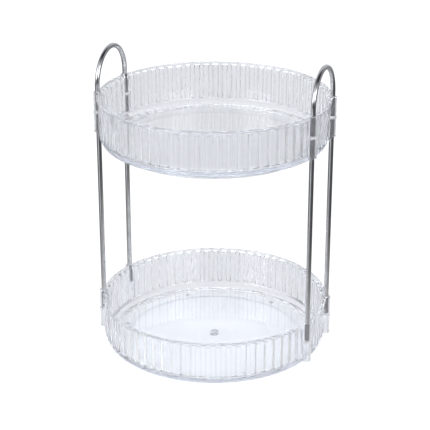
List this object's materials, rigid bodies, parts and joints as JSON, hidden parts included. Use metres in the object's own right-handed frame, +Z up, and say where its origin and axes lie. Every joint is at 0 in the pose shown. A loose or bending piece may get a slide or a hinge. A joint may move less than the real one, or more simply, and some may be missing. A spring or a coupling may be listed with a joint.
{
  "type": "lazy susan turntable",
  "caption": "Two-tier lazy susan: round clear fluted trays on chrome rods with arched handles, turning on a low white ball-bearing base.",
  "frame": {"origin": "centre of the underside of the base's rubber feet, on the turning axis", "axes": "+Z up along the turning axis; the two arched handles stand at +X and -X, and +Y is a plain fluted side"},
  "size_m": [0.234, 0.234, 0.3162],
  "materials": {
    "clear_plastic": "clear, glossy, faint cool tint",
    "chrome_rod": "polished",
    "white_plastic": "satin white",
    "cage_plastic": "natural white nylon",
    "bearing_steel": "ground steel",
    "foot_rubber": "matte translucent grey"
  },
  "bodies": {
    "base": {"base_plate": "white_plastic", "rubber_foot_1": "foot_rubber", "rubber_foot_2": "foot_rubber", "rubber_foot_3": "foot_rubber", "rubber_foot_4": "foot_rubber", "rubber_foot_5": "foot_rubber", "rubber_foot_6": "foot_rubber"},
    "ball_cage": {"bearing_cage": "cage_plastic", "bearing_ball_1": "bearing_steel", "bearing_ball_2": "bearing_steel", "bearing_ball_3": "bearing_steel", "bearing_ball_4": "bearing_steel", "bearing_ball_5": "bearing_steel", "bearing_ball_6": "bearing_steel"},
    "turntable": {"lower_tray": "clear_plastic", "upper_tray": "clear_plastic", "handle_left": "chrome_rod", "handle_right": "chrome_rod", "pivot_washer": "cage_plastic", "pivot_screw": "cage_plastic", "post_left_front": "chrome_rod", "post_left_rear": "chrome_rod", "post_right_front": "chrome_rod", "post_right_rear": "chrome_rod"}
  },
  "joints": [
    {"name": "turntable_spin", "type": "hinge", "parent": "base", "child": "turntable", "pos_m": [0, 0, 0.008], "axis": [0, 0, 1], "continuous": true},
    {"name": "ball_cage_spin", "type": "hinge", "parent": "base", "child": "ball_cage", "pos_m": [0, 0, 0.008], "axis": [0, 0, 1], "continuous": true}
  ],
  "couplings": [
    {"joint": "ball_cage_spin", "follows": "turntable_spin", "ratio": 0.5}
  ]
}
